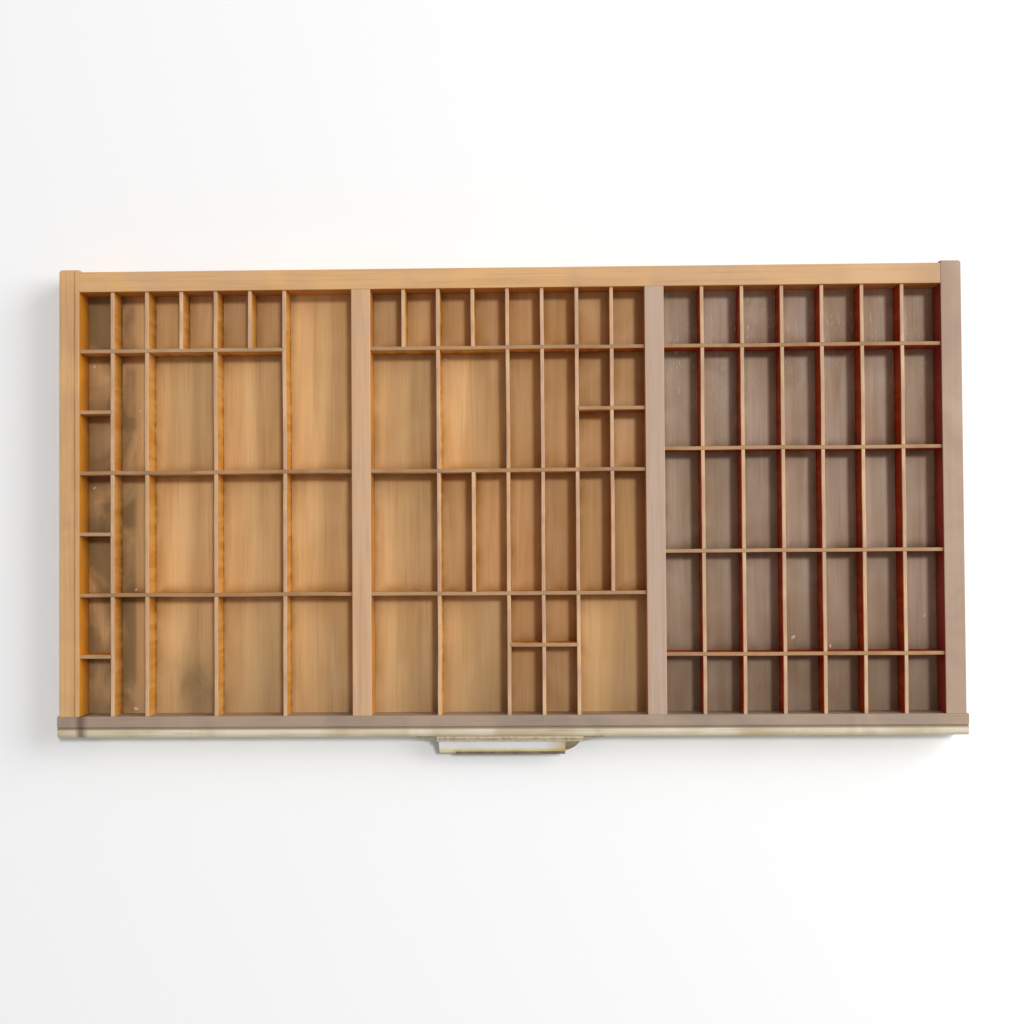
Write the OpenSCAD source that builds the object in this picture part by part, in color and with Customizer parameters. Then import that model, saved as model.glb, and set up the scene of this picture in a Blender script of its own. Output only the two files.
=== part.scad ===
// Type case: a shallow wooden tray in three sections, parted by two mullions and
// divided by thin half-lapped slats, with a cast pull and a label card in front.
// The origin is the middle of the underside. X runs to the right, Y to the back.

/* [Case] */
// Width over the two side rails
case_w = 819; // [760:1:880]
// Depth from the nose of the front rail to the back of the back rail
case_d = 425; // [390:1:460]
// Height of the rails
case_h = 35; // [33:0.5:42]
// Width of each side rail
side_w = 18.4; // [17:0.1:24]
// Width of the back rail
back_w = 18.5; // [17:0.1:24]
// Width of the front rail, with its nose
front_w = 19.4; // [18:0.1:26]
// Width of each mullion
mullion_w = 17.5; // [16:0.1:24]
// How far the side rails run past the back rail
side_horn = 1.8; // [0.5:0.1:6]
// Radius of the side rails' rear outer corners
horn_r = 3; // [1:0.1:8]
// How far the front rail runs past each side rail
front_overhang = 2; // [0.5:0.1:6]
// Radius of the eased top edges
ease = 0.8; // [0.3:0.1:1.5]

/* [Front rail moulding] */
// Width of the flat strip on top of the front rail
flat_w = 9.6; // [8:0.1:11]
// Width of the quirk, the groove beside the nose
quirk_w = 1.3; // [0.8:0.1:2]
// Depth of the quirk
quirk_depth = 2; // [1:0.1:3]
// How far the nose lies below the flat strip
nose_drop = 0.6; // [0.2:0.1:1.5]
// Radius of the nose at the front face
nose_r = 4.2; // [2.5:0.1:5]
// Radius of the nose at the quirk
nose_back_r = 1.2; // [0.5:0.1:2]

/* [Scored line on the left side rail] */
// Distance of the scored line from the rail's inner face
score_inset = 4.3; // [3:0.1:7]
// Width of the scored line
score_w = 1.3; // [0.6:0.1:2]
// Depth of the scored line
score_depth = 1; // [0.4:0.1:2]

/* [Corner joints] */
// Thickness of the tongues that join the rails and the mullions
tongue_t = 8; // [5:0.1:9]
// Length of the tongues
tongue_l = 7; // [4:0.1:9]
// Wood left over each tongue
tongue_cover = 6; // [4:0.1:9]

/* [Bottom] */
// Thickness of the bottom panel
panel_t = 5; // [3:0.1:7]
// How far the panel reaches under the rails
rabbet_w = 9; // [8:0.1:11]
// Clearance round the panel's edge
panel_gap = 0.3; // [0.1:0.1:1]

/* [Slats] */
// Thickness of the slats
slat_t = 3.3; // [2:0.1:4.5]
// How far the slats lie below the top of the rails
slat_drop = 2; // [0.5:0.1:4]
// Depth of the grooves in rails and mullions that hold the slats' ends
rail_housing = 3; // [1.5:0.1:4]
// Depth of the grooves in a slat that hold another slat's end
slat_housing = 0.8; // [0.4:0.1:0.9]
// Clearance at each side of a groove or a notch
fit = 0.1; // [0.05:0.01:0.3]
// Clearance at the end of a slat or a tongue
end_gap = 0.2; // [0.1:0.1:0.4]
// Share of the front row that lies behind the centre section's low cross slat
split_share = 0.42; // [0.3:0.01:0.7]

/* [Pull] */
// Width of the cup over its rounded ends
cup_w = 133; // [118:1:150]
// Reach of the cup's rounded ends
cup_r = 15.8; // [14:0.1:16]
// Radius of the cup's ends, seen from above
cup_end_r = 23.3; // [20:0.1:26]
// Height of the cup's open lower edge
cup_z = 8; // [6:0.1:10]
// Wall of the casting
cup_wall = 2.2; // [1.6:0.1:2.8]
// Slope of the card bed below level
bed_angle = 42; // [38:1:46]
// Length of the card bed down its slope
bed_len = 19.8; // [18:0.1:22]
// Width of the card bed
bed_w = 100; // [90:1:105]
// Distance of the bed's top edge from the front rail
bed_start = 2; // [1.6:0.1:3]
// Clearance between the bed's plane and the rounded ends
bed_rise = 0.8; // [0.4:0.1:1.5]
// Thickness of the card lips
lip_t = 0.9; // [0.6:0.1:1.4]
// How far the lips reach over the card
lip_reach = 1.6; // [1:0.1:2.5]
// Set-back of the cup's lower edge behind its front
bed_draft = 1; // [0.5:0.1:2]
// Length of each ear past the cup
ear_l = 20; // [18:0.5:26]
// Height of the ears
ear_h = 14; // [12:0.5:16]
// Thickness of the ears at the cup
ear_t = 3.6; // [3:0.1:4.5]
// Thickness of the ears at the tip
ear_tip_t = 1.8; // [1.2:0.1:2.5]
// Height of the ears' lower edge over the cup's lower edge
ear_rise = 1; // [0:0.1:2]

/* [Label card] */
// Length of the card
card_w = 115; // [100:1:125]
// Thickness of the card
card_t = 0.7; // [0.4:0.1:1]
// Clearance round the card in its lips
card_fit = 0.2; // [0.1:0.05:0.4]
// How far the card's right end stands past the right end of the bed
card_right = 0.3; // [-2:0.1:2]
// Radius of the card's corners
card_corner_r = 1.6; // [0.5:0.1:3]

/* [Screws and nails] */
// Distance of each screw from the ear's tip
screw_inset = 9; // [8:0.1:11]
// Radius of the screw's shank
screw_r = 1.7; // [1.2:0.1:2]
// Radius of the screw's countersunk head
screw_head_r = 3.4; // [3:0.1:4]
// Length of the screws
screw_l = 14; // [10:0.5:16]
// Width of the screw's slot
screw_slot_w = 0.8; // [0.5:0.1:1.2]
// Depth of the screw's head below the ear's face
screw_sink = 0.4; // [0.2:0.1:0.6]
// Radius of the frame nails
nail_r = 1; // [0.7:0.1:1.3]
// Length of the frame nails
nail_l = 34; // [28:0.5:40]
// Height of the lower frame nails over the bottom panel
nail_low = 7; // [5:0.5:9]
// Distance between the lower and the upper frame nails
nail_pitch = 10; // [8:0.5:13]
// Radius of the bottom nails
brad_r = 0.8; // [0.5:0.1:1]
// Length of the bottom nails
brad_l = 17; // [12:0.5:22]
// Radius of a nail's head as a multiple of its shank's
head_ratio = 1.9; // [1.6:0.1:2.2]
// Bottom nails along the front and along the back
brads_across = 9; // [5:1:14]
// Bottom nails along each side rail and each mullion
brads_deep = 4; // [3:1:7]
// Clearance round nails and screws in their holes
nail_fit = 0.05; // [0.02:0.01:0.1]

/* [Hidden] */
$fn = 64;
// How far a cut runs past the face that it opens
cut = 1;
floor_z = panel_t;
slat_top = case_h - slat_drop;
lap_z = (floor_z + slat_top) / 2;
inner_back_y = case_d / 2 - back_w;
inner_front_y = front_w - case_d / 2;
inner_d = inner_back_y - inner_front_y;
inner_w = case_w - 2 * side_w;
section_w = (inner_w - 2 * mullion_w) / 3;
front_y = -case_d / 2;

// Equal columns in each section, and each section's rows as shares of its depth
COLUMNS = [8, 8, 7];
ROWS = [[1, 2, 2, 2], [1, 2, 2, 2], [3, 5, 5, 5, 3]];

// Front-to-back slats: section, column line, row line behind, row line in front
LONG = [
    [0, 1, 0, 4], [0, 2, 0, 4], [0, 3, 0, 1], [0, 4, 0, 4], [0, 5, 0, 1], [0, 6, 0, 4],
    [1, 1, 0, 1], [1, 2, 0, 4], [1, 3, 0, 1], [1, 3, 2, 3], [1, 4, 0, 4], [1, 5, 0, 4],
    [1, 6, 0, 4], [1, 7, 0, 3],
    for (c = [1 : COLUMNS[2] - 1]) [2, c, 0, len(ROWS[2])]
];
// Cross slats: section, row line, column line at the left, column line at the right
CROSS = [
    [0, 1, 0, 6], [0, 2, 0, 8], [0, 3, 0, 8], [0, 1.5, 0, 1], [0, 2.5, 0, 1], [0, 3.5, 0, 1],
    [1, 1, 0, 8], [1, 2, 0, 8], [1, 3, 0, 8], [1, 1.5, 6, 8], [1, 3 + split_share, 4, 6],
    for (r = [1 : len(ROWS[2]) - 1]) [2, r, 0, COLUMNS[2]]
];

SECTION_NAMES = ["left", "centre", "right"];
// Place of entry i among the entries of its own section, counted from 1
function place(list, i) = len([for (k = [0 : i]) if (list[k][0] == list[i][0]) k]);
LONG_NAMES = [for (i = [0 : len(LONG) - 1])
    str(SECTION_NAMES[LONG[i][0]], "_long_slat_", place(LONG, i))];
CROSS_NAMES = [for (i = [0 : len(CROSS) - 1])
    str(SECTION_NAMES[CROSS[i][0]], "_cross_slat_", place(CROSS, i))];

// Column and row lines. Line 0 and the last line lie half a slat inside the wall,
// so every slat ends half a slat short of the line that it meets.
function section_left(s) = -inner_w / 2 + s * (section_w + mullion_w);
function column_x(s, c) = section_left(s) - slat_t / 2 + c * (section_w + slat_t) / COLUMNS[s];
function sum_to(list, n) = n <= 0 ? 0 : list[n - 1] + sum_to(list, n - 1);
function row_share(s, r) = sum_to(ROWS[s], floor(r))
    + (r > floor(r) ? (r - floor(r)) * ROWS[s][floor(r)] : 0);
function row_y(s, r) = inner_back_y + slat_t / 2
    - (inner_d + slat_t) * row_share(s, r) / sum_to(ROWS[s], len(ROWS[s]));

// How far a slat's end goes into the groove that holds it
function seat(in_rail) = (in_rail ? rail_housing : slat_housing) - end_gap;

// A vertical groove for a slat's end, open below
module groove(x, y, size_x, size_y) {
    translate([x - size_x / 2, y - size_y / 2, -cut])
        cube([size_x, size_y, slat_top + fit + cut]);
}

// Section of a bar with eased top edges, standing on its base
module bar_section(w, h) {
    square([w, h - ease]);
    translate([ease, 0]) square([w - 2 * ease, h]);
    for (x = [ease, w - ease]) translate([x, h - ease]) circle(r = ease);
}
module along_x(x0, x1, y) {
    translate([x0, y, 0]) rotate([90, 0, 90]) linear_extrude(x1 - x0) children();
}
module along_y(y0, y1, x) {
    translate([x, y1, 0]) rotate([90, 0, 0]) linear_extrude(y1 - y0) children();
}

// Nails and screws stand with the outer face of the head at the origin and the point up
nail_head_r = nail_r * head_ratio;
nail_head_t = nail_r;
brad_head_r = brad_r * head_ratio;
brad_head_t = brad_r;
module nail(r, l, head_r, head_t, gap = 0) {
    translate([0, 0, -gap]) cylinder(r = head_r + gap, h = head_t + gap);
    cylinder(r = r + gap, h = l + gap);
}
module frame_nail(gap = 0) {
    nail(nail_r, nail_l, nail_head_r, nail_head_t, gap);
}
module brad(gap = 0) {
    nail(brad_r, brad_l, brad_head_r, brad_head_t, gap);
}

nail_heights = [for (rise = [0, nail_pitch]) floor_z + nail_low + rise];
side_mid_x = case_w / 2 - side_w / 2;
mullion_mid_x = section_w / 2 + mullion_w / 2;
back_mid_y = inner_back_y + back_w / 2;

module at_back_corners(side) {
    for (z = nail_heights) translate([side * case_w / 2, back_mid_y, z])
        rotate([0, -side * 90, 0]) children();
}
module at_front(x) {
    for (z = nail_heights) translate([x, front_y, z]) rotate([-90, 0, 0]) children();
}
module at_back(x) {
    for (z = nail_heights) translate([x, case_d / 2, z]) rotate([90, 0, 0]) children();
}

// Bottom nails: rows under the rails and the mullions, clear of the slats' grooves
brad_inset = (rail_housing + rabbet_w) / 2;
brad_pitch_x = inner_w / brads_across;
brad_pitch_y = inner_d / brads_deep;
module at_brads() {
    for (i = [0 : brads_across - 1], y = [inner_back_y + brad_inset, inner_front_y - brad_inset])
        translate([(i + 0.5) * brad_pitch_x - inner_w / 2, y, 0]) children();
    for (j = [0 : brads_deep - 1],
         x = [-1, 1] * (inner_w / 2 + brad_inset))
        translate([x, (j + 0.5) * brad_pitch_y + inner_front_y, 0]) children();
    for (j = [0 : brads_deep - 1], x = [-mullion_mid_x, mullion_mid_x])
        translate([x, (j + 0.5) * brad_pitch_y + inner_front_y, 0]) children();
}

// The rebate that takes the panel's edge
module rabbet() {
    translate([-inner_w / 2 - rabbet_w, inner_front_y - rabbet_w, -cut])
        cube([inner_w + 2 * rabbet_w, inner_d + 2 * rabbet_w, floor_z + cut]);
}

// A tongue, or with a gap the dado that takes it. It points to -Y from a root behind the origin.
module tongue(gap = 0) {
    length = tongue_l - (gap > 0 ? 0 : end_gap);
    translate([-tongue_t / 2 - gap, -length, floor_z])
        cube([tongue_t + 2 * gap, length + cut, case_h - tongue_cover - floor_z + gap]);
}
module front_tongues_at(x, gap = 0) {
    translate([x, inner_front_y, 0]) tongue(gap);
}
module back_tongue_at(x, gap = 0) {
    translate([x, inner_back_y, 0]) rotate(180) tongue(gap);
}
module side_tongue(side, gap = 0) {
    translate([side * inner_w / 2, back_mid_y, 0]) rotate(side * 90) tongue(gap);
}

// Section of the front rail, with the inner face at 0 and the front face at front_w
module front_section() {
    nose_top = case_h - nose_drop;
    nose_start = flat_w + quirk_w;
    square([flat_w, case_h - ease]);
    translate([ease, 0]) square([flat_w - ease, case_h]);
    translate([ease, case_h - ease]) circle(r = ease);
    square([front_w, nose_top - nose_r]);
    square([nose_start, case_h - quirk_depth]);
    translate([nose_start, 0]) square([front_w - nose_start - nose_r, nose_top - nose_back_r]);
    translate([nose_start + nose_back_r, 0])
        square([front_w - nose_start - nose_r - nose_back_r, nose_top]);
    translate([nose_start + nose_back_r, nose_top - nose_back_r]) circle(r = nose_back_r);
    translate([front_w - nose_r, nose_top - nose_r]) circle(r = nose_r);
}

module front_rail() color("tan") {
    difference() {
        along_x(-case_w / 2 - front_overhang, case_w / 2 + front_overhang, inner_front_y)
            mirror([1, 0]) front_section();
        rabbet();
        for (x = [-side_mid_x, side_mid_x, -mullion_mid_x, mullion_mid_x]) {
            front_tongues_at(x, fit);
            at_front(x) frame_nail(nail_fit);
        }
        for (l = LONG) if (l[3] == len(ROWS[l[0]]))
            groove(column_x(l[0], l[1]), inner_front_y, slat_t + 2 * fit, 2 * rail_housing);
        at_brads() brad(nail_fit);
        at_screws() screw_hole();
    }
}

module back_rail() color("burlywood") {
    difference() {
        union() {
            along_x(-inner_w / 2, inner_w / 2, inner_back_y) bar_section(back_w, case_h);
            for (side = [-1, 1]) side_tongue(side);
        }
        rabbet();
        for (x = [-mullion_mid_x, mullion_mid_x]) {
            back_tongue_at(x, fit);
            at_back(x) frame_nail(nail_fit);
        }
        for (side = [-1, 1]) at_back_corners(side) frame_nail(nail_fit);
        for (l = LONG) if (l[2] == 0)
            groove(column_x(l[0], l[1]), inner_back_y, slat_t + 2 * fit, 2 * rail_housing);
        at_brads() brad(nail_fit);
    }
}

// The rail at the right, or mirrored at the left, with the grooves of its section
module side_rail(side) {
    rear_y = case_d / 2 + side_horn;
    section = side < 0 ? 0 : 2;
    wall = side < 0 ? 0 : COLUMNS[2];
    difference() {
        union() {
            along_y(inner_front_y, rear_y, side < 0 ? -case_w / 2 : inner_w / 2)
                bar_section(side_w, case_h);
            front_tongues_at(side * side_mid_x);
        }
        rabbet();
        side_tongue(side, fit);
        translate([side * (case_w / 2 - horn_r), rear_y - horn_r, -cut]) difference() {
            translate([side < 0 ? -horn_r - cut : 0, 0, 0])
                cube([horn_r + cut, horn_r + cut, case_h + 2 * cut]);
            cylinder(r = horn_r, h = case_h + 2 * cut);
        }
        for (c = CROSS) if (c[0] == section && (side < 0 ? c[2] : c[3]) == wall)
            groove(side * inner_w / 2, row_y(section, c[1]), 2 * rail_housing, slat_t + 2 * fit);
        at_front(side * side_mid_x) frame_nail(nail_fit);
        at_back_corners(side) frame_nail(nail_fit);
        at_brads() brad(nail_fit);
    }
}
module side_rail_left() color("peru") {
    difference() {
        side_rail(-1);
        translate([-inner_w / 2 - score_inset - score_w / 2, inner_front_y - tongue_l,
                   case_h - score_depth])
            cube([score_w, case_d, score_depth + cut]);
    }
}
module side_rail_right() color("rosybrown") side_rail(1);

// The mullion between section s and the next one
module mullion(s) {
    left_x = section_left(s) + section_w;
    mid_x = left_x + mullion_w / 2;
    difference() {
        union() {
            intersection() {
                along_y(inner_front_y, inner_back_y, left_x) bar_section(mullion_w, case_h);
                translate([left_x, inner_front_y, floor_z]) cube([mullion_w, inner_d, case_h]);
            }
            front_tongues_at(mid_x);
            back_tongue_at(mid_x);
        }
        for (c = CROSS) {
            if (c[0] == s && c[3] == COLUMNS[s])
                groove(left_x, row_y(s, c[1]), 2 * rail_housing, slat_t + 2 * fit);
            if (c[0] == s + 1 && c[2] == 0)
                groove(left_x + mullion_w, row_y(s + 1, c[1]), 2 * rail_housing, slat_t + 2 * fit);
        }
        at_front(mid_x) frame_nail(nail_fit);
        at_back(mid_x) frame_nail(nail_fit);
        at_brads() brad(nail_fit);
    }
}
module mullion_left() color("rosybrown") mullion(0);
module mullion_right() color("rosybrown") mullion(1);

module bottom_panel() color("darkkhaki") {
    reach = rabbet_w - panel_gap;
    difference() {
        translate([-inner_w / 2 - reach, inner_front_y - reach, 0])
            cube([inner_w + 2 * reach, inner_d + 2 * reach, panel_t]);
        at_brads() brad(nail_fit);
    }
}

// Front-to-back slats are notched from above where a cross slat passes over them
module long_slat(i) color("burlywood") {
    l = LONG[i];
    s = l[0];
    x = column_x(s, l[1]);
    back_end = row_y(s, l[2]) - slat_t / 2 + seat(l[2] == 0);
    front_end = row_y(s, l[3]) + slat_t / 2 - seat(l[3] == len(ROWS[s]));
    difference() {
        translate([x - slat_t / 2, front_end, floor_z])
            cube([slat_t, back_end - front_end, slat_top - floor_z]);
        for (c = CROSS) if (c[0] == s) {
            y = row_y(s, c[1]);
            if (c[2] < l[1] && l[1] < c[3] && l[2] < c[1] && c[1] < l[3])
                translate([x - slat_t, y - slat_t / 2 - fit, lap_z - fit / 2])
                    cube([2 * slat_t, slat_t + 2 * fit, slat_top]);
            if (c[3] == l[1] && l[2] < c[1] && c[1] < l[3])
                groove(x - slat_t / 2, y, 2 * slat_housing, slat_t + 2 * fit);
            if (c[2] == l[1] && l[2] < c[1] && c[1] < l[3])
                groove(x + slat_t / 2, y, 2 * slat_housing, slat_t + 2 * fit);
        }
    }
}

// Cross slats are notched from below and hold the ends of the slats that stop at them
module cross_slat(i) color("tan") {
    c = CROSS[i];
    s = c[0];
    y = row_y(s, c[1]);
    left_end = column_x(s, c[2]) + slat_t / 2 - seat(c[2] == 0);
    right_end = column_x(s, c[3]) - slat_t / 2 + seat(c[3] == COLUMNS[s]);
    difference() {
        translate([left_end, y - slat_t / 2, floor_z])
            cube([right_end - left_end, slat_t, slat_top - floor_z]);
        for (l = LONG) if (l[0] == s && c[2] < l[1] && l[1] < c[3]) {
            x = column_x(s, l[1]);
            if (l[2] < c[1] && c[1] < l[3])
                translate([x - slat_t / 2 - fit, y - slat_t, floor_z - cut])
                    cube([slat_t + 2 * fit, 2 * slat_t, lap_z + fit / 2 - floor_z + cut]);
            if (l[3] == c[1])
                groove(x, y + slat_t / 2, slat_t + 2 * fit, 2 * slat_housing);
            if (l[2] == c[1])
                groove(x, y - slat_t / 2, slat_t + 2 * fit, 2 * slat_housing);
        }
    }
}

// The pull, in a frame on the front face: X along the rail, Y away from it, Z up
bed_off = cup_r + bed_rise;
bed_reach = bed_start + bed_len * cos(bed_angle);
function bed_height(u) = cup_z + (bed_off - u * sin(bed_angle)) / cos(bed_angle);
lip_gap = card_t + 2 * card_fit;
lip_h = lip_gap + lip_t;
ear_tip_x = cup_w / 2 + ear_l;
ear_mid_z = cup_z + ear_rise + ear_h / 2;
screw_x = ear_tip_x - screw_inset;
module on_face() translate([0, front_y, 0]) mirror([0, 1, 0]) children();
// On the bed: Y runs down its slope from the top edge, Z stands off its surface
module on_bed() translate([0, bed_start, bed_height(bed_start)]) rotate([-bed_angle, 0, 0]) children();

// Solid under the bed, less an inset for the hollow inside it
module bed_block(inset) {
    past = inset > 0 ? cut : 0;
    low_z = cup_z - past;
    front_u = bed_reach - inset;
    top_z = bed_height(bed_start) - 2 * inset;
    start_u = inset > 0 ? (bed_off - inset - (top_z - cup_z) * cos(bed_angle)) / sin(bed_angle) : bed_start;
    lower_z = bed_height(front_u) - inset / cos(bed_angle);
    half = bed_w / 2 - inset;
    translate([-half, 0, 0]) rotate([90, 0, 90]) linear_extrude(2 * half)
        polygon([[-past, low_z], [-past, top_z], [start_u, top_z],
                 [front_u, lower_z], [front_u - bed_draft, low_z]]);
}
// The cup with rounded ends: a quarter round along X, cut to the ends' plan
module round_cup(inset) {
    r = cup_r - inset;
    end_r = cup_end_r - inset;
    back_u = cup_r - cup_end_r;
    end_x = cup_w / 2 - sqrt(pow(cup_end_r, 2) - pow(back_u, 2));
    past = inset > 0 ? cut : 0;
    intersection() {
        translate([-cup_w / 2, 0, 0]) rotate([90, 0, 90]) linear_extrude(cup_w) {
            intersection() {
                translate([0, cup_z]) circle(r = r);
                translate([-past, cup_z]) square([r + past, r]);
            }
            if (past > 0) translate([-past, cup_z - past]) square([r + past, past]);
        }
        translate([0, 0, cup_z - past]) linear_extrude(cup_r + past) {
            for (side = [-1, 1]) translate([side * end_x, back_u]) circle(r = end_r);
            translate([-end_x, -past]) square([2 * end_x, cup_r + past]);
        }
    }
}
module ear(side) {
    root_x = cup_w / 2 - cup_end_r / 4;
    mirror([side < 0 ? 1 : 0, 0, 0]) intersection() {
        translate([0, 0, ear_mid_z - ear_h / 2]) linear_extrude(ear_h)
            polygon([[root_x, 0], [ear_tip_x, 0], [ear_tip_x, ear_tip_t],
                     [cup_w / 2, ear_t], [root_x, ear_t]]);
        rotate([-90, 0, 0]) linear_extrude(ear_t) mirror([0, 1]) union() {
            translate([ear_tip_x - ear_h / 2, ear_mid_z]) circle(r = ear_h / 2);
            translate([0, ear_mid_z - ear_h / 2]) square([ear_tip_x - ear_h / 2, ear_h]);
        }
    }
}
// A lip along one edge of the bed, with a wall and a rim that reaches over the card
module lip(half, wall_y, rim_y) {
    translate([-half, wall_y, -cup_wall]) cube([2 * half, lip_t, cup_wall + lip_h]);
    translate([-half, rim_y, lip_gap]) cube([2 * half, lip_t + lip_reach, lip_t]);
}
module at_screws() {
    for (side = [-1, 1])
        on_face() translate([side * screw_x, 0, ear_mid_z]) rotate([-90, 0, 0]) children();
}
// How far the screw's head stands off the rail: sunk below the ear's face there
screw_head_z = ear_tip_t + (ear_t - ear_tip_t) * (screw_inset + screw_head_r) / ear_l - screw_sink;
head_cone = screw_head_r - screw_r;
module screw_form(gap = 0) {
    translate([0, 0, screw_head_z - screw_l - gap]) cylinder(r = screw_r + gap, h = screw_l);
    translate([0, 0, screw_head_z - head_cone])
        cylinder(r1 = screw_r + gap, r2 = screw_head_r + gap, h = head_cone);
}
module screw_hole() screw_form(nail_fit);

module pull() color("dimgray") {
    back_flange_h = cup_r / 2;
    difference() {
        on_face() union() {
            difference() {
                union() {
                    bed_block(0);
                    round_cup(0);
                }
                bed_block(cup_wall);
                round_cup(cup_wall);
            }
            translate([-cup_w / 2, 0, bed_height(bed_start) - back_flange_h])
                cube([cup_w, bed_start, back_flange_h]);
            on_bed() {
                lip(cup_w / 2, 0, 0);
                lip(bed_w / 2, bed_len - lip_t, bed_len - lip_t - lip_reach);
            }
            for (side = [-1, 1]) ear(side);
        }
        at_screws() {
            screw_hole();
            translate([0, 0, screw_head_z]) cylinder(r = screw_head_r + nail_fit, h = ear_t);
        }
    }
}

module pull_screws() color("gray") {
    at_screws() difference() {
        screw_form();
        translate([-screw_head_r - cut, -screw_slot_w / 2, screw_head_z - screw_slot_w])
            cube([2 * (screw_head_r + cut), screw_slot_w, screw_slot_w + cut]);
    }
}

module label_card() color("ivory") {
    card_h = bed_len - 2 * lip_t - 2 * card_fit;
    right_x = bed_w / 2 + card_right;
    on_face() on_bed() translate([right_x - card_w, lip_t + card_fit, card_fit])
    linear_extrude(card_t) {
        translate([card_corner_r, 0]) square([card_w - 2 * card_corner_r, card_h]);
        translate([0, card_corner_r]) square([card_w, card_h - 2 * card_corner_r]);
        for (x = [card_corner_r, card_w - card_corner_r], y = [card_corner_r, card_h - card_corner_r])
            translate([x, y]) circle(r = card_corner_r);
    }
}

module corner_nails() color("dimgray") {
    for (side = [-1, 1]) {
        at_back_corners(side) frame_nail();
        at_front(side * side_mid_x) frame_nail();
    }
}
module mullion_nails() color("dimgray") {
    for (x = [-mullion_mid_x, mullion_mid_x]) {
        at_front(x) frame_nail();
        at_back(x) frame_nail();
    }
}
module bottom_nails() color("dimgray") at_brads() brad();

front_rail();
back_rail();
side_rail_left();
side_rail_right();
mullion_left();
mullion_right();
bottom_panel();
for (i = [0 : len(LONG) - 1]) long_slat(i);
for (i = [0 : len(CROSS) - 1]) cross_slat(i);
pull();
pull_screws();
label_card();
corner_nails();
mullion_nails();
bottom_nails();
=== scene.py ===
"""Looks of a printer's type tray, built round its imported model.

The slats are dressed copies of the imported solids: their arrises are worn round, and they wander
a little between their housings. The floors have a face veneer whose colour follows each
compartment's walls. X runs to the right, Y to the back, Z up, all in metres.
"""

import math
import random

import bmesh
import bpy
import numpy as np
from mathutils import Euler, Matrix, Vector, noise


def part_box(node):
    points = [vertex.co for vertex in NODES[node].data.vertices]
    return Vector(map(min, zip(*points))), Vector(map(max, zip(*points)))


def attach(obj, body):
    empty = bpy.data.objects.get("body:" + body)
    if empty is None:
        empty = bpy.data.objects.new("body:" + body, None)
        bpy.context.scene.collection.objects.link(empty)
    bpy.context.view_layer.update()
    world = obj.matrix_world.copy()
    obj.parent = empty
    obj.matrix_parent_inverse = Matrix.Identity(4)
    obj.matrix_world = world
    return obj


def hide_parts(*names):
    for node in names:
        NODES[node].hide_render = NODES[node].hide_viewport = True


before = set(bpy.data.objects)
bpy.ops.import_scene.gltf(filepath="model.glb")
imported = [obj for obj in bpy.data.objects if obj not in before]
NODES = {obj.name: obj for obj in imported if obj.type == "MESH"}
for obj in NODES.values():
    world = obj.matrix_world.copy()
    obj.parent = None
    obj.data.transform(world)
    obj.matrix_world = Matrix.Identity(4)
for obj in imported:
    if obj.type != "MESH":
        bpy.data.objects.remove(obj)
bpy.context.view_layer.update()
MM = 0.001
SEED = 7
noise.seed_set(SEED)

# Camera: nearly straight down over the tray's middle, turned by degrees about X, Y and Z
CAMERA_AT = Vector((37.0, -40.9, 1389.4)) * MM
CAMERA_TURN = (1.3044, 1.4295, -0.3822)
CAMERA_LENS = 52.66
SENSOR_WIDTH = 36

# Lights: a sun from the right and the back, a low soft panel at the right, and a white dome
SUN_FROM = Vector((0.26, 0.22, 0.94))
SUN_STRENGTH = 1.12
SUN_ANGLE = 7.0
SKY_STRENGTH = 0.3
PANEL_AT = Vector((3.0, 1.2, 2.0))
PANEL_SIZE = 2.6
PANEL_POWER = 106

# Ground: half its side, and how far it lies under the tray
GROUND_HALF = 6.0
GROUND_DROP = 0.2 * MM

# Slats: how far they wander, how fast that changes, and how soon it dies out at their housings
WANDER = 0.5 * MM
WANDER_PER_M = 11
HOUSING_FADE = 30 * MM

# Slats: their worn arrises and nicks, and the slices that let them bend
ARRIS = 0.45 * MM
NICK_DEPTH = 0.8 * MM
NICKS_PER_M = 130
SLICE = 6 * MM
TONE_SPREAD = 0.5

# Veneer on the floors: its thickness, its mesh, and the darker band beside the walls, which is
# grime and painted shade
VENEER = 0.12 * MM
VENEER_STEP = 2.5 * MM
FLOOR_Z = 5 * MM
WALL_GRIME_AND_SHADE_REACH = 11 * MM
CELL_TONE = 0.3

# Veneer: the first column's dirty floors, one round stain, and the dusty back of the right section
FIRST_COLUMN_X = -345 * MM
FIRST_COLUMN_FADE = 4 * MM
STAIN_X = -293 * MM
STAIN_Y = -171 * MM
STAIN_SIZE = 26 * MM
DUST_Y = 60 * MM
DUST_FADE = 60 * MM

# Wood chips on the floors: place across and to the back, and size, in millimetres
CHIPS = [(-386, 129, 0.9), (-386, 16, 0.8), (-343, 87, 0.8), (-347, -79, 0.8), (-347, -189, 1.6),
         (380, -107, 1.0), (260, -126, 1.3), (294, -134, 1.0), (-58, 133, 0.9)]

# Inner faces of the frame and the mullions, which the slats are housed in
left_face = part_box("side_rail_left")[1][0]
right_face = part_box("side_rail_right")[0][0]
left_mullion = [corner[0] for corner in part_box("mullion_left")]
right_mullion = [corner[0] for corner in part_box("mullion_right")]
HOUSINGS_X = [left_face, *left_mullion, *right_mullion, right_face]
HOUSINGS_Y = [corner[1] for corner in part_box("mullion_left")]
RAIL_TOP = 35 * MM
NOSE_DEPTH = 7 * MM


def srgb(r, g, b):
    """A colour given as 0 to 255 on each channel, as the linear values that a shader takes."""
    return tuple(((c / 255 + 0.055) / 1.055) ** 2.4 if c > 10 else c / 3294 for c in (r, g, b))


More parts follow.
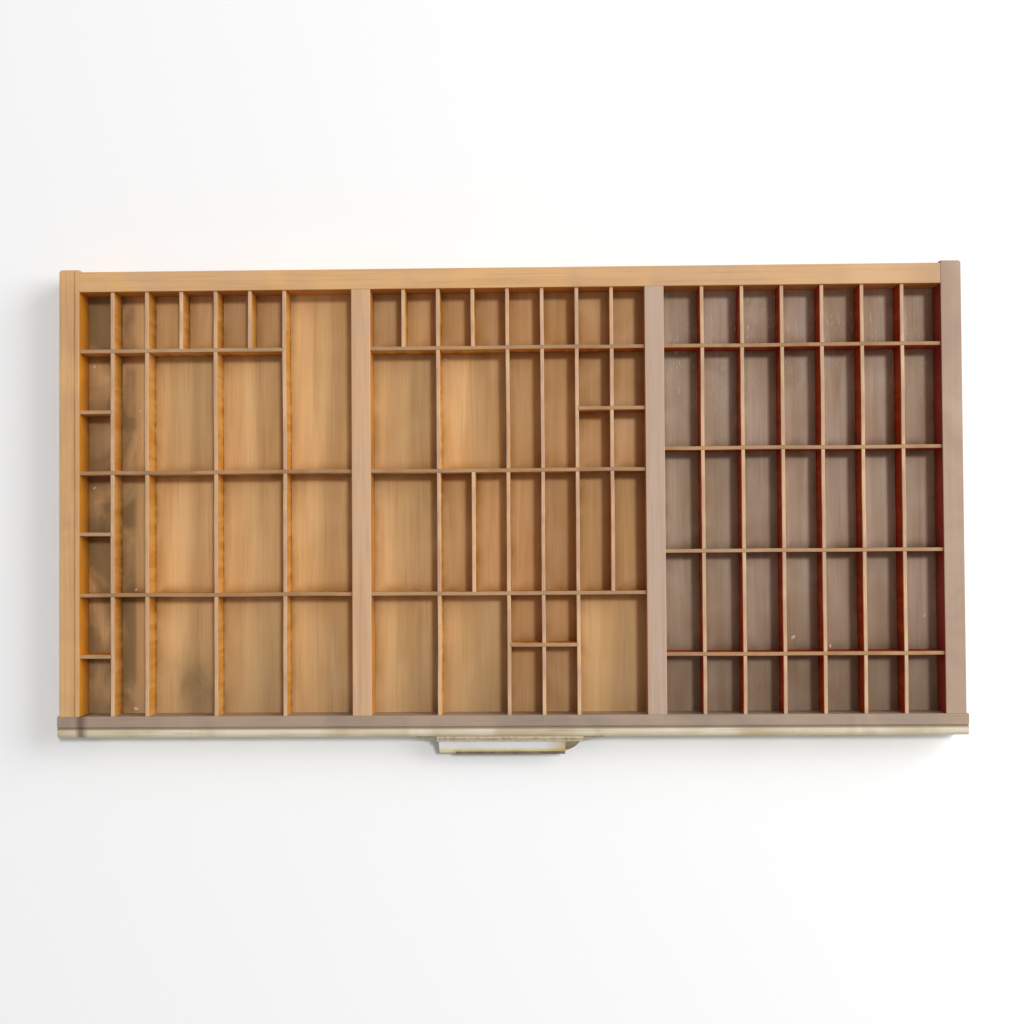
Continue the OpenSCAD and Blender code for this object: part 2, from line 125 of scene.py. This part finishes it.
def camera():
    data = bpy.data.cameras.new("camera")
    data.lens = CAMERA_LENS
    data.sensor_width = SENSOR_WIDTH
    data.clip_end = 50
    obj = bpy.data.objects.new("camera", data)
    obj.location = CAMERA_AT
    obj.rotation_euler = Euler([math.radians(a) for a in CAMERA_TURN])
    bpy.context.scene.collection.objects.link(obj)
    bpy.context.scene.camera = obj


def lamp(name, data, towards):
    """A lamp that shines from the direction given, as seen from the tray."""
    obj = bpy.data.objects.new(name, data)
    obj.rotation_euler = towards.to_track_quat("Z", "Y").to_euler()
    bpy.context.scene.collection.objects.link(obj)
    return obj


def sky():
    """A dim white dome that looks plain white to the camera and in reflections."""
    world = bpy.data.worlds.new("white")
    world.use_nodes = True
    tree = world.node_tree
    back = tree.nodes["Background"]
    back.inputs["Color"].default_value = (1, 1, 1, 1)
    path = tree.nodes.new("ShaderNodeLightPath")
    seen = tree.nodes.new("ShaderNodeMath")
    seen.operation = "MAXIMUM"
    tree.links.new(path.outputs["Is Camera Ray"], seen.inputs[0])
    tree.links.new(path.outputs["Is Glossy Ray"], seen.inputs[1])
    pick = tree.nodes.new("ShaderNodeMapRange")
    pick.inputs["To Min"].default_value = SKY_STRENGTH
    pick.inputs["To Max"].default_value = 1.0
    tree.links.new(seen.outputs[0], pick.inputs["Value"])
    tree.links.new(pick.outputs["Result"], back.inputs["Strength"])
    bpy.context.scene.world = world


def lights():
    sun = bpy.data.lights.new("sun", "SUN")
    sun.energy = SUN_STRENGTH
    sun.angle = math.radians(SUN_ANGLE)
    lamp("sun", sun, SUN_FROM)
    panel = bpy.data.lights.new("panel", "AREA")
    panel.energy = PANEL_POWER
    panel.size = PANEL_SIZE
    lamp("panel", panel, PANEL_AT).location = PANEL_AT
    sky()


class Paint:
    """A principled material whose nodes are added a step at a time."""

    def __init__(self, name, roughness=0.6, metallic=0.0):
        self.mat = bpy.data.materials.new(name)
        self.mat.use_nodes = True
        self.tree = self.mat.node_tree
        self.shader = self.tree.nodes["Principled BSDF"]
        self.shader.inputs["Roughness"].default_value = roughness
        self.shader.inputs["Metallic"].default_value = metallic
        self.place = self.tree.nodes.new("ShaderNodeTexCoord")
        self.at = self.split(self.place.outputs["Object"])
        self.faces = self.split(self.place.outputs["Normal"])

    def split(self, vector):
        """The X, Y and Z of a vector socket."""
        node = self.tree.nodes.new("ShaderNodeSeparateXYZ")
        self.tree.links.new(vector, node.inputs[0])
        return dict(zip("XYZ", node.outputs))

    def grain(self, scale, detail=4.0, warp=0.0):
        """Noise over the object's own place; scale is per metre on each axis."""
        stretch = self.tree.nodes.new("ShaderNodeMapping")
        stretch.inputs["Scale"].default_value = scale
        self.tree.links.new(self.place.outputs["Object"], stretch.inputs["Vector"])
        tex = self.tree.nodes.new("ShaderNodeTexNoise")
        tex.inputs["Scale"].default_value = 1.0
        tex.inputs["Detail"].default_value = detail
        tex.inputs["Distortion"].default_value = warp
        self.tree.links.new(stretch.outputs["Vector"], tex.inputs["Vector"])
        return tex.outputs[0]

    def span(self, value, low, high, to_low=0.0, to_high=1.0):
        """The value's run from low to high, as to_low to to_high, held at both ends."""
        node = self.tree.nodes.new("ShaderNodeMapRange")
        node.inputs["From Min"].default_value = low
        node.inputs["From Max"].default_value = high
        node.inputs["To Min"].default_value = to_low
        node.inputs["To Max"].default_value = to_high
        self.tree.links.new(value, node.inputs["Value"])
        return node.outputs["Result"]

    def times(self, a, b):
        node = self.tree.nodes.new("ShaderNodeMath")
        node.operation = "MULTIPLY"
        self.tree.links.new(a, node.inputs[0])
        self.tree.links.new(b, node.inputs[1])
        return node.outputs[0]

    def attribute(self, name):
        node = self.tree.nodes.new("ShaderNodeAttribute")
        node.attribute_name = name
        return node.outputs["Fac"]

    def mix(self, factor, a, b):
        """Colours a and b, each a tuple or a socket, mixed by a socket."""
        node = self.tree.nodes.new("ShaderNodeMix")
        node.data_type = "RGBA"
        self.tree.links.new(factor, node.inputs[0])
        for colour, socket in ((a, node.inputs[6]), (b, node.inputs[7])):
            if isinstance(colour, tuple):
                socket.default_value = (*colour, 1)
            else:
                self.tree.links.new(colour, socket)
        return node.outputs[2]

    def finish(self, colour, rough, height, depth):
        """Links the colour, the roughness, and a bump as deep as given in metres."""
        self.tree.links.new(colour, self.shader.inputs["Base Color"])
        self.tree.links.new(rough, self.shader.inputs["Roughness"])
        bump = self.tree.nodes.new("ShaderNodeBump")
        bump.inputs["Strength"].default_value = 0.6
        bump.inputs["Distance"].default_value = depth
        self.tree.links.new(height, bump.inputs["Height"])
        self.tree.links.new(bump.outputs["Normal"], self.shader.inputs["Normal"])
        return self.mat


def along(axis, length_rate, cross_rate):
    """Noise rates per metre for grain that runs along an axis."""
    return tuple(length_rate if a == axis else cross_rate for a in "XYZ")


def rail_wood(name, axis, tan, pink, dark, lining, inner=None):
    """Old rail wood: grain along the axis, tan and pinkish patches, darker low down with grime and
    painted shade, a worn rim.

    Its inner sides keep their varnish, in the lining's colour. inner is the axis and the normal
    that they face with; a mullion has none, and is lined on both sides.
    """
    p = Paint(name)
    fine = p.grain(along(axis, 14, 620), 6, 0.4)
    bands = p.grain(along(axis, 5, 130), 3, 0.6)
    patch = p.grain((16, 16, 16), 4, 0.8)
    colour = p.mix(p.span(patch, 0.38, 0.62), tan, pink)
    colour = p.mix(p.span(bands, 0.5, 0.72, 0, 0.4), colour, dark)
    colour = p.mix(p.span(fine, 0.52, 0.75, 0, 0.5), colour, dark)
    far_end = p.span(p.at["X"], 60 * MM, 400 * MM, 0, 0.45)
    colour = p.mix(far_end, colour, srgb(150, 128, 116))
    lined = p.span(p.faces["Z"], 0.8, 0.35)
    if inner:
        lined = p.times(lined, p.span(p.faces[inner[0]], 0, inner[1]))
    old = p.mix(p.span(patch, 0.35, 0.65), lining, tuple(c * 0.72 for c in lining))
    colour = p.mix(lined, colour, old)
    pale = tuple(min(1.0, c * 1.35) for c in tan)
    worn = p.span(p.at["Z"], RAIL_TOP - 1.2 * MM, RAIL_TOP - 0.2 * MM, 0, 0.25)
    colour = p.mix(worn, colour, pale)
    # Darker low down, beside the floor and the ground: grime, and painted shade in the crease
    low_grime_and_shade = p.times(p.span(p.at["Z"], 12 * MM, 4 * MM), p.span(patch, 0.3, 0.7, 0.2, 0.9))
    colour = p.mix(low_grime_and_shade, colour, tuple(c * 0.5 for c in dark))
    return p.finish(colour, p.span(patch, 0.35, 0.65, 0.5, 0.75), fine, 0.15 * MM)


def front_wood():
    """Front rail: a grey-brown flat on top, and a pale straw nose with brown streaks."""
    p = Paint("front_rail")
    fine = p.grain(along("X", 14, 620), 6, 0.4)
    patch = p.grain((18, 18, 18), 4, 0.8)
    flat = p.mix(p.span(patch, 0.38, 0.62), srgb(166, 142, 120), srgb(150, 132, 116))
    nose = p.mix(p.span(patch, 0.4, 0.64), srgb(222, 210, 184), srgb(196, 178, 144))
    quirk_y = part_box("front_rail")[0][1] + NOSE_DEPTH
    colour = p.mix(p.span(p.at["Y"], quirk_y + 0.4 * MM, quirk_y - 0.4 * MM), flat, nose)
    colour = p.mix(p.span(fine, 0.54, 0.76, 0, 0.5), colour, srgb(140, 108, 78))
    knot_left = p.span(p.at["X"], -396 * MM, -391 * MM)
    knot_right = p.span(p.at["X"], -383 * MM, -389 * MM)
    knot = p.times(p.times(knot_left, knot_right), p.span(patch, 0.2, 0.6, 0.5, 1))
    colour = p.mix(knot, colour, srgb(96, 74, 54))
    return p.finish(colour, p.span(patch, 0.35, 0.65, 0.5, 0.75), fine, 0.15 * MM)


def slat_wood(name, axis, top, top_dark):
    """Thin slats: pale worn tops, and sides that go from amber at the left to red-brown."""
    p = Paint(name)
    p.shader.inputs["Specular IOR Level"].default_value = 0.15
    fine = p.grain(along(axis, 22, 700), 6, 0.5)
    streak = p.grain((110, 110, 16), 4, 0.2)
    patch = p.grain((24, 24, 24), 4, 0.8)
    left = p.mix(p.span(streak, 0.4, 0.6), srgb(216, 160, 84), srgb(204, 138, 52))
    centre = p.mix(p.span(streak, 0.4, 0.6), srgb(226, 164, 72), srgb(204, 138, 44))
    right = p.mix(p.span(streak, 0.4, 0.6), srgb(180, 68, 6), srgb(156, 50, 3))
    side = p.mix(p.span(p.at["X"], -150 * MM, -110 * MM), left, centre)
    side = p.mix(p.span(p.at["X"], 20 * MM, 150 * MM), side, right)
    # Darker low on the sides, beside the floor: grime, and painted shade in the crease
    low_grime_and_shade = p.times(p.span(p.at["Z"], 14 * MM, 5 * MM), p.span(streak, 0.3, 0.7, 0.15, 0.85))
    side = p.mix(low_grime_and_shade, side, srgb(70, 42, 14))
    side = p.mix(p.span(p.at["Z"], 30.5 * MM, 32.8 * MM, 0, 0.75), side, top)
    crown = p.mix(p.span(patch, 0.38, 0.62), top, top_dark)
    crown = p.mix(p.span(fine, 0.5, 0.72, 0, 0.4), crown, srgb(150, 110, 78))
    crown = p.mix(p.attribute("tone"), crown, srgb(196, 160, 124))
    colour = p.mix(p.span(p.faces["Z"], 0.35, 0.8), side, crown)
    return p.finish(colour, p.span(patch, 0.35, 0.65, 0.5, 0.78), fine, 0.12 * MM)


def floor_wood():
    """Face veneer: tan at the left and the centre, grey-beige and dusty at the right."""
    p = Paint("floor_veneer")
    fine = p.grain(along("Y", 12, 900), 6, 0.3)
    bands = p.grain(along("Y", 5, 70), 3, 0.5)
    patch = p.grain((28, 20, 28), 4, 0.9)
    at_right = p.attribute("right_third")
    warm = p.mix(p.span(bands, 0.38, 0.62), srgb(233, 188, 128), srgb(214, 168, 110))
    grey = p.mix(p.span(bands, 0.38, 0.62), srgb(206, 188, 166), srgb(188, 164, 136))
    colour = p.mix(at_right, warm, grey)
    colour = p.mix(p.span(fine, 0.52, 0.74, 0, 0.28), colour, srgb(140, 104, 66))
    colour = p.mix(p.attribute("tone"), colour, srgb(138, 116, 78))
    # Darker, browner band beside the walls: grime, and painted shade where the walls' shadows fall
    # on the floor
    grime_and_shade_mask = p.times(p.attribute("wall_grime_and_shade"), p.span(patch, 0.3, 0.7, 0.35, 0.95))
    grime_and_shade_colour = p.mix(at_right, srgb(158, 108, 36), srgb(110, 84, 46))
    colour = p.mix(grime_and_shade_mask, colour, grime_and_shade_colour)
    # Painted shade: the floors darken towards the front, and further in the right section
    front = p.span(p.at["Y"], -100 * MM, -190 * MM, 0, 0.35)
    colour = p.mix(front, colour, srgb(140, 116, 84))
    front_right_shade = p.times(p.span(p.at["Y"], -70 * MM, -180 * MM, 0, 0.6), at_right)
    colour = p.mix(front_right_shade, colour, srgb(128, 104, 78))
    stain = p.times(p.attribute("stain"), p.span(patch, 0.35, 0.6, 0.2, 0.75))
    colour = p.mix(stain, colour, srgb(112, 92, 60))
    flecks = p.grain(along("Y", 60, 420), 6, 2.5)
    dust = p.times(p.span(flecks, 0.62, 0.72), p.attribute("dust"))
    colour = p.mix(dust, colour, srgb(222, 214, 204))
    return p.finish(colour, p.span(patch, 0.35, 0.65, 0.55, 0.8), fine, 0.08 * MM)


def plywood():
    """The bottom panel itself, seen from below: grain to the back, brown and dusty."""
    p = Paint("bottom_plywood", 0.75)
    fine = p.grain(along("Y", 10, 800), 6, 0.4)
    bands = p.grain(along("Y", 3, 45), 4, 1.2)
    colour = p.mix(p.span(bands, 0.35, 0.65), srgb(186, 150, 104), srgb(158, 120, 78))
    colour = p.mix(p.span(fine, 0.5, 0.72, 0, 0.45), colour, srgb(120, 86, 52))
    return p.finish(colour, p.span(bands, 0.3, 0.7, 0.65, 0.85), fine, 0.1 * MM)


def chip_wood():
    """Pale torn wood of the small chips."""
    p = Paint("chip_wood", 0.8)
    rough = p.grain((1500, 1500, 1500), 3)
    colour = p.mix(rough, srgb(238, 230, 216), srgb(206, 190, 164))
    return p.finish(colour, p.span(rough, 0.3, 0.7, 0.7, 0.9), rough, 0.05 * MM)


def cast_iron():
    """Dark olive cast metal, paler towards its top: rubbed wear and a painted highlight."""
    p = Paint("cast_iron", 0.5, 0.35)
    lumps = p.grain((240, 240, 240), 5, 0.3)
    patch = p.grain((90, 90, 90), 4, 0.8)
    colour = p.mix(p.span(patch, 0.38, 0.62), srgb(104, 92, 70), srgb(140, 122, 92))
    # Paler towards the top, in lumps: rubbed wear, and a painted highlight along the upper lip
    worn = p.times(p.span(p.at["Z"], 20 * MM, 27 * MM), p.span(lumps, 0.25, 0.6, 0.4, 1))
    colour = p.mix(worn, colour, srgb(206, 192, 164))
    return p.finish(colour, p.span(lumps, 0.35, 0.65, 0.38, 0.62), lumps, 0.1 * MM)


def steel():
    """Small fasteners: dull dark steel with a little rust."""
    p = Paint("fastener_steel", 0.45, 0.7)
    spots = p.grain((900, 900, 900), 5, 0.3)
    colour = p.mix(p.span(spots, 0.4, 0.6), srgb(92, 84, 76), srgb(128, 92, 62))
    return p.finish(colour, p.span(spots, 0.35, 0.65, 0.35, 0.65), spots, 0.05 * MM)


def card_paper():
    """Bare card: whitish at its upper part, gone yellow low down and at the right end."""
    p = Paint("card_paper", 0.7)
    fibre = p.grain((700, 700, 700), 5, 0.6)
    patch = p.grain((70, 70, 70), 4, 0.7)
    white = p.mix(p.span(patch, 0.35, 0.65), srgb(252, 249, 246), srgb(246, 243, 242))
    yellow = p.mix(p.span(patch, 0.35, 0.65), srgb(246, 230, 168), srgb(232, 212, 138))
    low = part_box("label_card")[0][1]
    colour = p.mix(p.span(p.at["Y"], low + 5 * MM, low + 2 * MM), white, yellow)
    colour = p.mix(p.span(p.at["X"], 32 * MM, 50 * MM, 0, 0.8), colour, srgb(206, 176, 96))
    return p.finish(colour, p.span(patch, 0.35, 0.65, 0.6, 0.8), fibre, 0.05 * MM)


def ground_white():
    """Plain matt white, with no bump."""
    p = Paint("ground_white", 0.9)
    colour = p.mix(p.grain((3, 3, 3), 2), (1.0, 1.0, 1.0), (0.99, 0.99, 0.99))
    p.tree.links.new(colour, p.shader.inputs["Base Color"])
    return p.mat


def place_mesh(name, mesh, material):
    """A new object of the mesh, in the scene."""
    mesh.materials.append(material)
    obj = bpy.data.objects.new(name, mesh)
    bpy.context.scene.collection.objects.link(obj)
    return obj


def mesh_from_points(name, points, faces):
    mesh = bpy.data.meshes.new(name)
    mesh.from_pydata(points, [], faces)
    return mesh


def mesh_from_bmesh(name, bm):
    mesh = bpy.data.meshes.new(name)
    bm.to_mesh(mesh)
    bm.free()
    return mesh


def set_values(mesh, name, values):
    """One number for each of the mesh's points, which a material reads by name."""
    layer = mesh.attributes.new(name, "FLOAT", "POINT")
    layer.data.foreach_set("value", np.asarray(values, dtype=np.float32))


def ground():
    half = GROUND_HALF
    corners = [(-half, -half, 0), (half, -half, 0), (half, half, 0), (-half, half, 0)]
    mesh = mesh_from_points("ground", corners, [(0, 1, 2, 3)])
    floor = place_mesh("ground", mesh, ground_white())
    floor.location.z = -GROUND_DROP


def wander(point):
    """How far one shared field moves a slat's point; it dies out at the housings."""
    gaps = [abs(point.x - x) for x in HOUSINGS_X]
    gaps += [abs(point.y - y) for y in HOUSINGS_Y]
    ease = min(1.0, min(gaps) / HOUSING_FADE)
    ease = ease * ease * (3 - 2 * ease)
    spot = Vector((point.x, point.y, 0)) * WANDER_PER_M
    shift = noise.noise_vector(spot + Vector((SEED, 0, 0)))
    fine = noise.noise_vector(spot * 4 + Vector((0, SEED, 0))) * 0.3
    return (shift + fine) * WANDER * ease


def wear_slat(bm, high_z):
    """Moves a sliced slat's points by the shared field, and sinks nicks into its crown."""
    for v in bm.verts:
        move = wander(v.co)
        v.co.x += move.x
        v.co.y += move.y
        if v.co.z > high_z - ARRIS:
            nick = noise.noise(Vector((v.co.x, v.co.y, SEED)) * NICKS_PER_M)
            v.co.z -= max(0.0, nick - 0.25) * NICK_DEPTH


def dressed_slat(node, material, tone):
    """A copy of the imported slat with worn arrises, wandering between its housings."""
    low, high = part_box(node)
    axis = 0 if high[0] - low[0] > high[1] - low[1] else 1
    length = Vector((1, 0, 0)) if axis == 0 else Vector((0, 1, 0))
    bm = bmesh.new()
    bm.from_mesh(NODES[node].data)
    bmesh.ops.remove_doubles(bm, verts=bm.verts, dist=1e-6)
    bmesh.ops.dissolve_limit(bm, angle_limit=0.01, verts=bm.verts, edges=bm.edges)
    crown = [e for e in bm.edges if all(v.co.z > high[2] - 1e-5 for v in e.verts)]
    crown = [e for e in crown if abs((e.verts[0].co - e.verts[1].co).normalized()[axis]) > 0.99]
    bmesh.ops.bevel(bm, geom=crown, offset=ARRIS, segments=2, profile=0.5, affect="EDGES",
                    clamp_overlap=True)
    for i in range(1, int((high[axis] - low[axis]) / SLICE)):
        every = bm.verts[:] + bm.edges[:] + bm.faces[:]
        at = length * (low[axis] + i * SLICE)
        bmesh.ops.bisect_plane(bm, geom=every, plane_co=at, plane_no=length)
    wear_slat(bm, high[2])
    mesh = mesh_from_bmesh(node + "_worn", bm)
    set_values(mesh, "tone", np.full(len(mesh.vertices), tone))
    obj = place_mesh(node + "_worn", mesh, material)
    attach(obj, "tray")
    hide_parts(node)


def walls_near(xs, ys, walls):
    """For each point: the way to the nearest wall, and the walls at its left and its front."""
    nearest = np.full(xs.shape, 1.0)
    left_wall = np.full(xs.shape, -1)
    front_wall = np.full(xs.shape, -1)
    left_at = np.full(xs.shape, -1.0)
    front_at = np.full(xs.shape, -1.0)
    for i, (low, high) in enumerate(walls):
        away_x = np.maximum(np.maximum(low[0] - xs, xs - high[0]), 0)
        away_y = np.maximum(np.maximum(low[1] - ys, ys - high[1]), 0)
        nearest = np.minimum(nearest, np.hypot(away_x, away_y))
        beside = (away_y == 0) & (low[0] <= xs) & (low[0] > left_at)
        left_wall[beside] = i
        left_at[beside] = low[0]
        behind = (away_x == 0) & (low[1] <= ys) & (low[1] > front_at)
        front_wall[behind] = i
        front_at[behind] = low[1]
    return nearest, list(zip(left_wall.tolist(), front_wall.tolist()))


def veneer_values(xs, ys, walls, rng):
    """What the veneer's material reads: the band of grime and painted shade beside the walls,
    compartments' tones, sections, stains, dust.
    """
    nearest, cells = walls_near(xs, ys, walls)
    cell_tone = {cell: rng.random() for cell in sorted(set(cells))}
    right_low, right_high = right_mullion
    at_right = np.clip((xs - right_low) / (right_high - right_low), 0, 1)
    away = (xs - STAIN_X) ** 2 + (ys - STAIN_Y) ** 2
    first_column = np.clip((FIRST_COLUMN_X - xs) / FIRST_COLUMN_FADE, 0, 1)
    return {
        # The band beside the walls, for grime and painted shade
        "wall_grime_and_shade": np.clip(1 - nearest / WALL_GRIME_AND_SHADE_REACH, 0, 1) ** 1.6,
        "tone": np.array([cell_tone[cell] for cell in cells]) * CELL_TONE,
        "right_third": at_right,
        "stain": np.exp(-away / STAIN_SIZE ** 2) + first_column,
        "dust": at_right * np.clip((ys - DUST_Y) / DUST_FADE, 0.15, 1),
    }


def sheet_faces(nx, ny):
    """Faces of a closed flat sheet of nx by ny squares, and the points round its top's rim."""
    row = nx + 1
    rim = list(range(nx))
    rim += [nx + j * row for j in range(ny)]
    rim += [ny * row + i for i in range(nx, 0, -1)]
    rim += [j * row for j in range(ny, 0, -1)]
    starts = [j * row + i for j in range(ny) for i in range(nx)]
    faces = [(s, s + 1, s + row + 1, s + row) for s in starts]
    below = row * (ny + 1)
    for k, i in enumerate(rim):
        after = (k + 1) % len(rim)
        faces.append((i, below + k, below + after, rim[after]))
    faces.append(tuple(below + k for k in range(len(rim) - 1, -1, -1)))
    return faces, rim


def veneer(walls, rng):
    """One thin sheet over the floors, which knows how far each of its points is from a wall."""
    front, back = HOUSINGS_Y
    nx = int((right_face - left_face) / VENEER_STEP)
    ny = int((back - front) / VENEER_STEP)
    across = np.linspace(left_face, right_face, nx + 1)
    xs, ys = (grid.ravel() for grid in np.meshgrid(across, np.linspace(front, back, ny + 1)))
    faces, rim = sheet_faces(nx, ny)
    top = [(x, y, FLOOR_Z + VENEER) for x, y in zip(xs.tolist(), ys.tolist())]
    skirt = [(top[i][0], top[i][1], FLOOR_Z) for i in rim]
    mesh = mesh_from_points("floor_veneer", top + skirt, faces)
    for name, values in veneer_values(xs, ys, walls, rng).items():
        set_values(mesh, name, np.concatenate([values, np.zeros(len(rim))]))
    obj = place_mesh("floor_veneer", mesh, floor_wood())
    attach(obj, "tray")


def chip(name, x, y, size, material, rng):
    """A small chip of wood that lies on a floor: a flattened, lumpy closed form."""
    bm = bmesh.new()
    bmesh.ops.create_icosphere(bm, subdivisions=2, radius=size)
    turn = rng.random() * math.pi
    for v in bm.verts:
        v.co *= 0.75 + 0.5 * rng.random()
        v.co.x *= 1.7
        v.co.z *= 0.35
        v.co.xy = Vector((v.co.x * math.cos(turn) - v.co.y * math.sin(turn),
                          v.co.x * math.sin(turn) + v.co.y * math.cos(turn)))
    drop = min(v.co.z for v in bm.verts)
    for v in bm.verts:
        v.co += Vector((x * MM, y * MM, FLOOR_Z + VENEER - drop))
    obj = place_mesh(name, mesh_from_bmesh(name, bm), material)
    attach(obj, "tray")


def finish_nodes():
    """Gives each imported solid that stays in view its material."""
    fastener = steel()
    finish = {
        "front_rail": front_wood(),
        "side_rail_left": rail_wood("left_rail", "Y", srgb(206, 162, 108), srgb(190, 146, 106),
                                    srgb(146, 100, 60), srgb(224, 146, 34), ("X", 0.5)),
        "side_rail_right": rail_wood("right_rail", "Y", srgb(178, 148, 120), srgb(160, 134, 118),
                                     srgb(132, 104, 82), srgb(150, 34, 6), ("X", -0.5)),
        "back_rail": rail_wood("back_rail", "X", srgb(212, 164, 104), srgb(196, 158, 122),
                               srgb(154, 110, 70), srgb(206, 134, 50), ("Y", -0.5)),
        "mullion_left": rail_wood("mullion_left", "Y", srgb(202, 160, 118), srgb(200, 164, 134),
                                  srgb(150, 110, 76), srgb(206, 140, 62)),
        "mullion_right": rail_wood("mullion_right", "Y", srgb(178, 150, 128), srgb(190, 164, 144),
                                   srgb(138, 110, 86), srgb(190, 110, 40)),
        "bottom_panel": plywood(),
        "pull": cast_iron(),
        "label_card": card_paper(),
        "pull_screws": fastener,
        "corner_nails": fastener,
        "mullion_nails": fastener,
        "bottom_nails": fastener,
    }
    for name, material in finish.items():
        NODES[name].data.materials.clear()
        NODES[name].data.materials.append(material)


def dress_slats(names, rng):
    long_wood = slat_wood("long_slat", "Y", srgb(220, 182, 144), srgb(196, 160, 134))
    cross_wood = slat_wood("cross_slat", "X", srgb(180, 142, 104), srgb(158, 122, 88))
    for name in names:
        tone = rng.random() * TONE_SPREAD
        if "long" in name:
            dressed_slat(name, long_wood, tone)
        else:
            dressed_slat(name, cross_wood, tone)


def scatter_chips(rng):
    material = chip_wood()
    for i, (x, y, size) in enumerate(CHIPS):
        chip(f"chip_{i + 1}", x, y, size * MM, material, rng)


camera()
lights()
ground()
finish_nodes()
rng = random.Random(SEED)
slats = sorted(name for name in NODES if "_slat_" in name)
dress_slats(slats, rng)
frame_walls = ["side_rail_left", "side_rail_right", "mullion_left", "mullion_right"]
veneer([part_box(name) for name in slats + frame_walls], rng)
scatter_chips(rng)

bpy.context.scene.view_settings.view_transform = "Standard"
